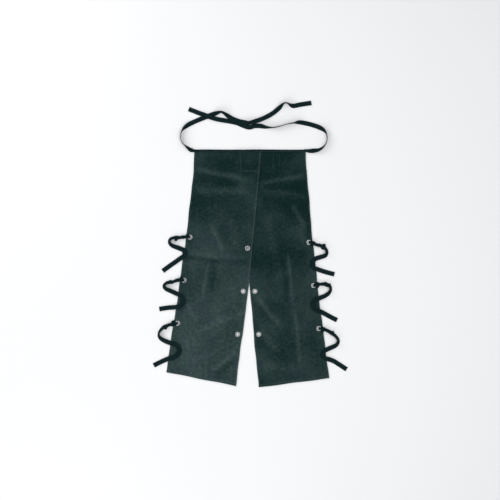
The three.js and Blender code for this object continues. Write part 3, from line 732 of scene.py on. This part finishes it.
class Leg:
    """One leg panel's outline and surfaces. x runs across, y up the panel."""

    def __init__(self, side, outer_rise, inner_rise, inner_x, edge_pull, pull_place):
        self.side = side
        self.name = "left" if side < 0 else "right"
        waist = np.array([WAIST_CENTRE_X + side * WAIST_WIDTH / 2, WAIST_Y])
        corner = np.array([side * HEM_SPAN / 2, outer_rise - LENGTH / 2])
        pull = waist + (corner - waist) * pull_place - np.array([side * edge_pull, 0])
        t = np.linspace(0, 1, 40)[:, None]
        curve = (1 - t) ** 2 * waist + 2 * t * (1 - t) * pull + t**2 * corner
        self.outer = np.vstack([curve, curve[-1] + (curve[-1] - curve[-2]) * 4])
        self.corner = corner
        slit = (SLIT[0] + side * SLIT_GAP / 2, SLIT[1])
        own_edge = FRONT_EDGE_X if side < 0 else HIDDEN_EDGE_X
        self.heel = np.array([inner_x, inner_rise - LENGTH / 2])
        self.inner = np.array([(own_edge, WAIST_Y), slit, tuple(self.heel)])
        pad_top = HIDDEN_EDGE_X - PAD_SETBACK if side < 0 else FRONT_EDGE_X + PAD_LAP_GAP
        pad_slit = (slit[0] + side * PAD_SETBACK, slit[1])
        pad_heel = (self.heel[0] + side * PAD_INSET, self.heel[1])
        self.pad_line = np.array([(pad_top, WAIST_Y), pad_slit, pad_heel])

    def outer_x(self, y):
        return np.interp(y, self.outer[::-1, 1], self.outer[::-1, 0]) + self.sway(y, 1.3)

    def inner_x(self, y):
        straying = self.sway(y, 5.9) * smooth(-y, 0.07, 0.2)
        return np.interp(y, self.inner[::-1, 1], self.inner[::-1, 0]) + straying

    def sway(self, y, phase):
        """How far the cut edge strays from its drawn line."""
        return 0.9 * MM * np.sin(y * 27 + phase * self.side) + 0.5 * MM * np.sin(y * 71 + 2 * phase)

    def hem_y(self, x):
        share = (x - self.corner[0]) / (self.heel[0] - self.corner[0])
        return self.corner[1] + share * (self.heel[1] - self.corner[1]) + 0.7 * MM * np.sin(x * 48)

    def distances(self, x, y):
        """How far each point lies inside the outer edge, the inner edge and the hem."""
        return (x - self.outer_x(y)) * -self.side, (self.inner_x(y) - x) * -self.side, y - self.hem_y(x)

    def lap(self, x, y):
        """How far the left panel is lifted by the right one beneath it."""
        if self.side > 0:
            return np.zeros(np.shape(x))
        hidden = RIGHT.inner_x(y)
        rise = smooth(x, hidden - 38 * MM, hidden + 1 * MM)
        return LAP_LIFT * rise * smooth(y, SLIT[1] - 14 * MM, SLIT[1] + 8 * MM)

    def padding(self, x, y):
        """The padding's share of its full height, from 0 to 1."""
        outer, _, hem = self.distances(x, y)
        pad_x = np.interp(y, self.pad_line[::-1, 1], self.pad_line[::-1, 0])
        inner = (pad_x - x) * -self.side
        inward = [outer - PAD_INSET, inner, hem - PAD_HEM_INSET, HIP_FOLD_Y + PAD_ABOVE_FOLD - y]
        depth = soft_min(inward, PAD_ROUNDING)
        return smooth(depth, -4 * MM, 46 * MM)

    def back(self, x, y):
        outer, inner, hem = self.distances(x, y)
        edge = nearest(outer, inner, hem)
        waves = 0.21 * MM * (0.5 + 0.5 * noise_field(x, y, 0.05, 40 + self.side))
        wrinkles = 0.26 * MM * (0.5 + 0.5 * noise_field(x, y * 0.5, 0.015, 44 + self.side))
        hollow = (waves + wrinkles) * smooth(edge, 0, 0.03)
        return BACK_LIFT + self.lap(x, y) + hollow + rounded(edge, 1.1 * MM, 1.5 * MM)

    def front(self, x, y):
        outer, inner, hem = self.distances(x, y)
        edge = nearest(outer, inner, hem)
        inside = smooth(edge, 4 * MM, 50 * MM)
        top = BORDER_TOP + HEM_RISE * (1 - smooth(edge, HEM_WIDTH - 1 * MM, HEM_WIDTH + 1.6 * MM))
        top = top + PAD_RISE * self.padding(x, y)
        top = top + inside * 1.5 * MM * noise_field(x, y * 0.7, 0.13, 3 + self.side)
        top = top + inside * 0.7 * MM * noise_field(x, y, 0.045, 9 + self.side)
        top = top + smooth(edge, 2 * MM, 14 * MM) * 0.28 * MM * noise_field(x, y, 0.016, 17 + self.side)
        top = top + self.creases(x, y)[0] * smooth(edge, -2 * MM, 16 * MM)
        for depth_in in seam_lines(outer, inner, hem):
            top = top - SEAM_DIP * np.exp(-(depth_in / SEAM_SPREAD) ** 2)
        pucker = np.sin(2 * math.pi * (x + y) / PUCKER_LENGTH + 2.5 * noise_field(x, y, 0.03, 5))
        top = top + PUCKER_HEIGHT * pucker * np.exp(-((edge - PUCKER_PLACE) / PUCKER_SPREAD) ** 2)
        top = np.maximum(top, THINNEST)
        return top + self.lap(x, y) - rounded(edge, 1.2 * MM, 1.6 * MM)

    def creases(self, x, y):
        """Height of the folds and wrinkles pressed into the cloth, and a colour share that follows it: paler
        on raised folds, from rubbing and painted highlight, and darker on sunken ones, a painted shade.
        """
        height, wear = np.zeros(np.shape(x)), np.zeros(np.shape(x))
        bend_x = 7 * MM * noise_field(x, y, 0.1, 21)
        bend_y = 7 * MM * noise_field(x, y, 0.1, 27)
        for legs, start, end, rise, width in CREASES:
            if self.name not in legs:
                continue
            a, b = np.array(start) * MM, np.array(end) * MM
            run = b - a
            point_x, point_y = x + bend_x - a[0], y + bend_y - a[1]
            t = (point_x * run[0] + point_y * run[1]) / (run @ run)
            away = (point_x * run[1] - point_y * run[0]) / math.hypot(*run)
            fade = smooth(t, -0.05, 0.18) * (1 - smooth(t, 0.8, 1.06))
            shape = np.exp(-(away / (width * MM)) ** 2)
            height += rise * MM * shape * fade
            # painted highlight on raised folds and painted shade in sunken ones, where rise is below zero;
            # the ridges are also rubbed
            wear += 0.16 * rise * np.exp(-(away / (width * 1.1 * MM)) ** 2) * fade
        return height, wear


# Each crease: the leg or legs, one end and the other, rise and half width, all in millimetres.
CREASES = [
    ("left", (-190, 363), (0, 312), 2.2, 9),
    ("left", (-178, 338), (-30, 296), -1.4, 11),
    ("right", (45, 309), (214, 331), 2.2, 8),
    ("right", (60, 290), (200, 305), -1.2, 12),
    ("left", (-205, 288), (20, 272), 1.6, 12),
    ("right", (44, 286), (220, 262), 1.3, 12),
    ("left", (-236, 40), (-96, 27), -1.7, 9),
    ("left", (-110, 30), (4, 24), -1.0, 11),
    ("left", (-236, 54), (4, 40), 1.0, 12),
    ("left", (-143, 26), (-160, -120), 1.9, 5),
    ("left", (-120, 20), (-128, -90), -1.0, 8),
    ("left", (-138, 160), (-86, 66), 1.8, 8),
    ("left", (-60, 190), (-30, 60), 1.1, 14),
    ("left", (10, -150), (-110, -190), 1.7, 8),
    ("left", (-90, -182), (-190, -236), 1.7, 9),
    ("left", (-226, -120), (-180, -200), 1.4, 8),
    ("left", (-36, -298), (-135, -376), 2.0, 9),
    ("left", (-40, -330), (-120, -400), -1.3, 9),
    ("left", (-215, -330), (-120, -300), 1.0, 14),
    ("right", (143, 60), (168, -140), 2.0, 5),
    ("right", (168, -140), (190, -350), 1.8, 6),
    ("right", (125, 40), (146, -130), -1.1, 9),
    ("right", (160, 235), (212, 140), 1.7, 8),
    ("right", (180, 160), (216, 70), 1.0, 12),
    ("right", (28, -96), (122, -210), 1.9, 8),
    ("right", (36, -210), (110, -300), 1.4, 12),
    ("right", (70, 210), (96, 60), 0.9, 16),
    ("right", (40, -340), (200, -372), 0.9, 13),
]

STITCH_INSET = 5 * MM
SECOND_INSET = 8.6 * MM
TUCKS = [((91, 362), (92, 416)), ((112, 366), (114, 416))]


def seam_lines(outer, inner, hem):
    """How far each point lies from each of the seams that draw the cloth down."""
    return [outer - STITCH_INSET, inner - STITCH_INSET, hem - STITCH_INSET, hem - SECOND_INSET]


LEFT = Leg(-1, 55 * MM, 5 * MM, -43 * MM, 20 * MM, 0.22)
RIGHT = Leg(1, 33 * MM, 0, 39 * MM, 16 * MM, 0.4)

# ================================================================ panels
EDGE_DISTANCES = np.array([0, 0.35, 0.9, 1.6, 3.0, 4.0, 5.0, 6.0, 7.4, 8.6, 9.8, 11.2, 12.8]) * MM
CELL = 4.2 * MM
PANEL_TOP = WAIST_Y - 1.2 * MM
SEAM_Y = 30 * MM                   # the two pieces of one leg meet here, in its middle crease
HOLE_CUT = 6.9 * MM
EDGE_WEAR = 0.3
# painted light: the panels are mixed paler down the legs and on the left leg, and stay darker at the waist
# and on the right leg, in place of light falling from the lower left
LEFT_PAINTED_LIGHT = (0.05, 0.43)         # at the waist, and what is added down to the hem
RIGHT_PAINTED_LIGHT = (0.0, 0.16)
FRONT_EDGE_WEAR = 0.25


def panel_grid(leg):
    """Rows and columns of points over a panel, fine along its edges."""
    reach = EDGE_DISTANCES[-1]
    hem_width = abs(leg.heel[0] - leg.corner[0])
    middle = round((hem_width - 2 * reach) / CELL)
    fraction = np.linspace(0, 1, middle + 1)[1:-1]
    between = (reach + fraction * (hem_width - 2 * reach)) / hem_width
    hem_share = np.concatenate([EDGE_DISTANCES / hem_width, between, 1 - EDGE_DISTANCES[::-1] / hem_width])
    down = round((PANEL_TOP - leg.heel[1]) / CELL)
    rows = np.linspace(0, 1, down)[:-1]
    hem_y = leg.corner[1] + hem_share * (leg.heel[1] - leg.corner[1])
    body_y = PANEL_TOP + rows[:, None] * (hem_y + reach - PANEL_TOP)[None, :]
    y = np.vstack([body_y, hem_y[None, :] + EDGE_DISTANCES[::-1][:, None]])
    outer, inner = leg.outer_x(y), leg.inner_x(y)
    columns = y.shape[1]
    x = np.zeros_like(y)
    count = len(EDGE_DISTANCES)
    inward = -leg.side
    x[:, :count] = outer[:, :count] + inward * EDGE_DISTANCES
    x[:, columns - count:] = inner[:, columns - count:] - inward * EDGE_DISTANCES[::-1]
    first = outer + inward * reach
    last = inner - inward * reach
    x[:, count:columns - count] = (first + (last - first) * np.concatenate(
        [np.zeros(count), fraction, np.ones(count)]))[:, count:columns - count]
    y = y + (0.7 * MM * np.sin(x * 48)) * smooth(leg.hem_y(x) + 0.08 - y, 0, 0.08)
    return x, y


def leg_painted_light(leg, x, y):
    """Painted light: the front is paler down the legs, more on the left one, in place of light falling from
    the lower left.
    """
    down = smooth(-y, -0.36, 0.30)
    at_waist, added = LEFT_PAINTED_LIGHT if leg.side < 0 else RIGHT_PAINTED_LIGHT
    return at_waist + added * down + 0.10 * down * noise_field(x, y, 0.09, 51 + leg.side)


def eyelet_places(leg):
    names = [f"{leg.name}_{edge}_eyelet_{row}" for edge in ("outer", "inner") for row in ROWS]
    return [(name, node_centre(name)) for name in names]


def open_holes(x, y, places):
    """Moves the points round each eyelet out to a circle, and says which points are in a hole."""
    inside = np.zeros(x.shape, bool)
    for _, centre in places:
        dx, dy = x - centre.x, y - centre.y
        away = np.maximum(np.hypot(dx, dy), 1e-9)
        cut = away < HOLE_CUT
        x = np.where(cut, centre.x + dx / away * HOLE_CUT, x)
        y = np.where(cut, centre.y + dy / away * HOLE_CUT, y)
        inside |= cut
    return x, y, inside


def make_panel(leg):
    x, y = panel_grid(leg)
    places = eyelet_places(leg)
    x, y, inside = open_holes(x, y, places)
    front, back = leg.front(x, y), leg.back(x, y)
    for _, centre in places:
        away = np.hypot(x - centre.x, y - centre.y)
        seat = BORDER_TOP + 0.1 * MM + leg.lap(centre.x, centre.y)
        press = 1 - smooth(away, EYELET_RADIUS, EYELET_RADIUS + 9 * MM)
        front = front * (1 - press) + np.minimum(front, seat) * press
    front = np.maximum(front, back + 0.5 * MM)
    rows, columns = x.shape
    rim = np.zeros(x.shape, bool)
    rim[0, :] = rim[-1, :] = rim[:, 0] = rim[:, -1] = True
    middle = (front + back) / 2
    front, back = np.where(rim, middle, front), np.where(rim, middle, back)
    # colour share of each point: painted highlight and painted shade on the folds, rubbed edges, and painted
    # light down the legs
    worn_and_painted_light = leg.creases(x, y)[1]
    outer, inner, hem = leg.distances(x, y)
    edge = nearest(outer, inner, hem)
    worn_and_painted_light = worn_and_painted_light + EDGE_WEAR * (1 - smooth(edge, 0, 4.5 * MM)) + leg_painted_light(leg, x, y)
    if leg.side < 0:
        worn_and_painted_light = worn_and_painted_light + FRONT_EDGE_WEAR * (1 - smooth(inner, 1.5 * MM, 5 * MM))
    worn_and_painted_light = np.clip(worn_and_painted_light, 0, 1)
    index_front = np.arange(rows * columns).reshape(rows, columns)
    index_back = np.where(rim, index_front, index_front + rows * columns)
    points = np.vstack([np.column_stack([x.ravel(), y.ravel(), front.ravel()]),
                        np.column_stack([x.ravel(), y.ravel(), back.ravel()])])
    wear = np.concatenate([worn_and_painted_light.ravel(), worn_and_painted_light.ravel() * 0.2])
    uvs = np.vstack([points[:rows * columns, :2], points[rows * columns:, :2] + (2.0, 0.3)])
    faces, kinds, levels = [], [], []
    turn = leg.side < 0
    for i in range(rows - 1):
        for j in range(columns - 1):
            cell = [(i, j), (i + 1, j), (i + 1, j + 1), (i, j + 1)]
            if all(inside[c] for c in cell):
                continue
            top = [int(index_front[c]) for c in cell]
            low = [int(index_back[c]) for c in cell][::-1]
            hemmed = edge[i, j] < HEM_WIDTH or edge[i + 1, j + 1] < HEM_WIDTH
            for quad, kind in ((top, 0), (low, 0 if hemmed else 1)):
                faces.append(quad if turn else quad[::-1])
                kinds.append(kind)
                levels.append(i)
    hole_walls(inside, index_front, index_back, faces, kinds, levels, turn)
    split = int(np.argmin(np.abs(y[:, columns // 2] - SEAM_Y)))
    return split_panel(leg, points, faces, kinds, levels, wear, uvs, split, columns, index_front, index_back)


def hole_walls(inside, index_front, index_back, faces, kinds, levels, turn):
    """Joins front and back round each eyelet's hole."""
    gone = inside[:-1, :-1] & inside[1:, :-1] & inside[1:, 1:] & inside[:-1, 1:]
    for i, j in zip(*np.nonzero(gone)):
        sides = [((i, j), (i + 1, j), (i, j - 1)), ((i + 1, j), (i + 1, j + 1), (i + 1, j)),
                 ((i + 1, j + 1), (i, j + 1), (i, j + 1)), ((i, j + 1), (i, j), (i - 1, j))]
        for a, b, beyond in sides:
            if not gone[beyond]:
                ends = (index_front[a], index_front[b], index_back[b], index_back[a])
                quad = [int(end) for end in ends]
                faces.append(quad if turn else quad[::-1])
                kinds.append(0)
                levels.append(i)


def split_panel(leg, points, faces, kinds, levels, wear, uvs, split, columns, index_front, index_back):
    """Two pieces that meet at one row, with the normals of the whole panel."""
    whole = bpy.data.meshes.new("whole_panel")
    whole.from_pydata([tuple(p) for p in points], [], faces)
    normals = np.zeros(len(points) * 3, np.float32)
    whole.vertices.foreach_get("normal", normals)
    normals = normals.reshape(-1, 3)
    bpy.data.meshes.remove(whole)
    made = []
    levels = np.array(levels)
    for name, keep, top in ((f"{leg.name}_thigh_panel", levels < split, False),
                            (f"{leg.name}_shin_panel", levels >= split, True)):
        chosen = [faces[k] for k in np.nonzero(keep)[0]]
        chosen_kinds = [kinds[k] for k in np.nonzero(keep)[0]]
        cap = []
        for j in range(columns - 1):
            quad = [int(index_front[split, j]), int(index_front[split, j + 1]),
                    int(index_back[split, j + 1]), int(index_back[split, j])]
            quad = [v for k, v in enumerate(quad) if v not in quad[:k]]
            if len(quad) >= 3:
                cap.append(quad)
        flip = (leg.side < 0) == top
        chosen += [quad[::-1] if flip else quad for quad in cap]
        chosen_kinds += [1] * len(cap)
        used = np.unique(np.concatenate([np.array(face) for face in chosen]))
        place = {int(v): k for k, v in enumerate(used)}
        local = [tuple(place[v] for v in face) for face in chosen]
        threads = panel_stitches(leg, points[index_front[split, columns // 2]][1], top)
        base = len(used)
        thread_points, thread_faces, thread_uvs, thread_normals = threads
        local += [tuple(v + base for v in face) for face in thread_faces]
        chosen_kinds += [2] * len(thread_faces)
        piece = add_object(
            name,
            np.vstack([points[used], thread_points]),
            local,
            [CANVAS, LINING, THREAD],
            chosen_kinds,
            np.vstack([uvs[used], thread_uvs]),
            np.vstack([normals[used], thread_normals]),
            np.concatenate([wear[used], np.zeros(len(thread_points))]),
        )
        made.append(piece)
    return made


# ================================================================ stitching
STITCH_PITCH = 5.2 * MM
STITCH_LENGTH = 4.0 * MM
THREAD_RADIUS = 0.42 * MM


def stitches(line, surface, facing=1):
    """Single stitches along a line of x, y points, lying on a surface. facing is -1 under a panel."""
    rows = np.column_stack([line, np.zeros(len(line))])
    gaps = np.hypot(*np.diff(rows[:, :2], axis=0).T)
    total = float(np.sum(gaps))
    count = max(1, int(total / STITCH_PITCH))
    along = np.concatenate([[0], np.cumsum(gaps)])
    starts = (np.arange(count) + 0.1) * total / count
    profile = [(0.0, 0.35, -0.35), (0.14, 0.85, 0.1), (0.5, 1.0, 0.45), (0.86, 0.85, 0.1), (1.0, 0.35, -0.35)]
    around = 6
    at = np.array([[s + share * STITCH_LENGTH for share, _, _ in profile] for s in starts])
    at = np.minimum(at, total)
    point_x, point_y = np.interp(at, along, rows[:, 0]), np.interp(at, along, rows[:, 1])
    point_z = surface(point_x, point_y)
    points, faces, uvs, normals = [], [], [], []
    for k in range(count):
        heading = Vector((point_x[k, -1] - point_x[k, 0], point_y[k, -1] - point_y[k, 0], 0))
        if heading.length < 1 * MM:
            continue
        heading.normalize()
        side = Vector((-heading.y, heading.x, 0))
        base = len(points)
        for m, (share, radius, rise) in enumerate(profile):
            middle = Vector((point_x[k, m], point_y[k, m], point_z[k, m] + facing * rise * THREAD_RADIUS))
            for j in range(around):
                a = 2 * math.pi * j / around
                out = side * math.cos(a) + Vector((0, 0, math.sin(a)))
                points.append(middle + out * THREAD_RADIUS * radius)
                normals.append(out)
                uvs.append((j * 0.4 * MM, share * STITCH_LENGTH + k * STITCH_PITCH))
        for m in range(len(profile) - 1):
            faces += ring_faces(base + m * around, base + (m + 1) * around, around)
        faces.append(tuple(base + j for j in reversed(range(around))))
        faces.append(tuple(base + (len(profile) - 1) * around + j for j in range(around)))
    return points, faces, uvs, normals


def join(parts):
    points, faces, uvs, normals = [], [], [], []
    for p, f, u, n in parts:
        base = len(points)
        points += p
        faces += [tuple(v + base for v in face) for face in f]
        uvs += u
        normals += n
    return points, faces, uvs, normals


SEAM_POINTS = 120                  # in each line of stitches
SEAM_BREAK = 2 * MM                # a line stops this far from where two panels meet


def panel_stitches(leg, meet_y, lower):
    """The seams round one piece of a panel, on its front and its back."""
    inward = -leg.side
    top_y = PANEL_TOP - BAND_DEPTH
    high, low = (meet_y - SEAM_BREAK, None) if lower else (top_y, meet_y + SEAM_BREAK)
    lines = []
    outer_low = leg.corner[1] + STITCH_INSET if lower else low
    y = np.linspace(high, outer_low, SEAM_POINTS)
    lines.append(np.column_stack([leg.outer_x(y) + inward * STITCH_INSET, y]))
    inner_low = leg.heel[1] + STITCH_INSET if lower else low
    y = np.linspace(high, inner_low, SEAM_POINTS)
    lines.append(np.column_stack([leg.inner_x(y) - inward * STITCH_INSET, y]))
    if lower:
        for inset in (STITCH_INSET, SECOND_INSET):
            ends = leg.corner[0] + inward * STITCH_INSET, leg.heel[0] - inward * STITCH_INSET
            x = np.linspace(*ends, SEAM_POINTS)
            lines.append(np.column_stack([x, leg.hem_y(x) + inset]))
    elif leg is RIGHT:
        lines += [np.array(tuck) * MM for tuck in TUCKS]
    parts = [stitches(line, leg.front) for line in lines]
    parts += [stitches(line, leg.back, -1) for line in lines]
    return join(parts)


BOX_LEFT = -26 * MM                # the corners of the box stitching
BOX_RIGHT = 43.5 * MM
BOX_TOP = 418 * MM
BOX_FOOT = 350 * MM
BOX_SECOND = 353.2 * MM            # the second line along its foot


def make_box_stitch():
    """The square seam through both panels at the waist, with a double line along its foot."""
    foot_end = BOX_RIGHT - 1 * MM
    lines = [
        [(BOX_LEFT, BOX_TOP), (BOX_LEFT, BOX_FOOT)],
        [(BOX_LEFT, BOX_FOOT), (foot_end, BOX_FOOT)],
        [(BOX_LEFT + 2 * MM, BOX_SECOND), (foot_end, BOX_SECOND)],
        [(BOX_RIGHT - 1.5 * MM, BOX_FOOT), (BOX_RIGHT + 0.8 * MM, BOX_TOP)],
    ]
    points, faces, uvs, normals = join([stitches(np.array(line), LEFT.front) for line in lines])
    seam = add_object("box_stitching", points, faces, [THREAD], uvs=uvs, normals=normals)
    fasten(seam, "waist", "thread", "box_stitch")


# ================================================================ waistband
BAND_STEP = 3.5 * MM
BAND_THICKNESS = 0.75 * MM
BAND_REACH = 6 * MM                # the panels' height is taken this far in from their edges


def make_waistband():
    """A tape folded over the waist edge, sewn through, following the height of the panels."""
    low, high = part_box("waistband")
    columns = round((high.x - low.x) / BAND_STEP) + 1
    x = np.linspace(low.x, high.x, columns)
    y_in = np.full(columns, WAIST_Y - BAND_DEPTH)
    left = np.where(x < FRONT_EDGE_X, LEFT.front(np.minimum(x, FRONT_EDGE_X - BAND_REACH), y_in), 0)
    right = np.where(x > HIDDEN_EDGE_X, RIGHT.front(np.maximum(x, HIDDEN_EDGE_X + BAND_REACH), y_in), 0)
    top = np.maximum(left, right) + BAND_THICKNESS
    kernel = np.hanning(9) / np.hanning(9).sum()
    top = np.convolve(np.pad(top, 4, mode="edge"), kernel, mode="valid")
    depth = BAND_DEPTH + 1.2 * MM + 0.5 * MM * np.sin(x * 90) + 0.3 * MM * np.sin(x * 233)
    crest = WAIST_Y + 0.4 * MM * np.sin(x * 31)
    points, uvs = [], []
    section = [(1.0, 1.0, -0.7), (1.0, 1.0, 0.0), (0.8, 1.0, 0.12), (0.45, 1.0, 0.1), (0.16, 0.98, 0.05),
               (0.04, 0.86, 0), (0.0, 0.62, 0), (0.0, 0.34, 0), (0.05, 0.1, 0), (0.2, 0.0, 0.05),
               (0.8, 0.0, 0.05), (1.0, 0.0, 0.0), (1.0, 0.0, 0.7)]
    count = len(section)
    for k in range(columns):
        for s, (inward, up, shift) in enumerate(section):
            z = 0.1 * MM + up * (top[k] - 0.1 * MM) + shift * MM
            points.append((x[k], crest[k] - inward * depth[k], z))
            uvs.append((s * 1.6 * MM, x[k]))
    band = add_object("waist_binding", points, tube_faces(columns, count), [TAPE], uvs=uvs)
    fasten(band, "waist", "tape", "waistband")

    def band_top(point_x, point_y):
        return np.interp(point_x, x, top) + 0.12 * MM

    line = np.column_stack([x[2:-2], crest[2:-2] - BAND_DEPTH * 0.78])
    points, faces, uvs, normals = stitches(line, band_top)
    seam = add_object("binding_seam", points, faces, [THREAD], uvs=uvs, normals=normals)
    fasten(seam, "waist", "thread")


# ================================================================ eyelets
EYELET_TILT = 0.02                 # the most that an eyelet leans, as rise over run


def make_eyelet(leg, name, centre):
    """A rolled eyelet in front, its barrel through the cloth, and its washer behind."""
    lift = leg.lap(centre.x, centre.y)
    seat = (BORDER_TOP + 0.25 * MM) / MM
    hole = EYELET_HOLE / MM
    # The section's radius and height in millimetres: the washer, the barrel, then the rolled flange.
    profile = [(hole, 0.35), (5.3, 0.12), (8.1, 0.12), (8.5, 0.3), (8.5, 0.75), (8.1, 0.95), (5.4, 0.95),
               (5.2, 1.2), (5.2, seat), (9.3, seat - 0.05), (9.5, seat + 0.12), (9.42, seat + 0.4),
               (9.0, seat + 0.72), (8.2, seat + 0.98), (7.2, seat + 1.08), (6.2, seat + 0.98),
               (5.4, seat + 0.66), (4.9, seat + 0.2), (hole, seat - 0.5)]
    around = 56
    points, faces = [], []
    tilt = EYELET_TILT * math.sin(centre.x * 400 + centre.y * 170)
    for radius, height in profile:
        for j in range(around):
            a = 2 * math.pi * j / around
            point_x = radius * math.cos(a) * MM
            point_y = radius * math.sin(a) * MM
            point_z = max(0.1 * MM, height * MM + point_x * tilt) + float(lift)
            points.append((centre.x + point_x, centre.y + point_y, point_z))
    for k in range(len(profile)):
        faces += ring_faces(((k + 1) % len(profile)) * around, k * around, around)
    ring = add_object(name.replace("eyelet", "grommet"), points, faces, [NICKEL])
    fasten(ring, tape_body(name), "eyelet", name, name.replace("eyelet", "washer"))


def bend_at(piece, fold):
    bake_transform(piece)


for leg in (LEFT, RIGHT):
    thigh, shin = make_panel(leg)
    bend_at(thigh, "hip")
    bend_at(shin, leg.name)
    for piece, sections in ((thigh, ("yoke", "upper")), (shin, ("lower",))):
        for section in sections:
            kinds = ("shell", "lining") if section == "yoke" else ("shell", "lining", "back_pad", "front_pad")
            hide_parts(*[f"{leg.name}_{section}_{kind}" for kind in kinds])
    for eyelet_name, eyelet_centre in eyelet_places(leg):
        make_eyelet(leg, eyelet_name, eyelet_centre)

make_box_stitch()
make_waistband()
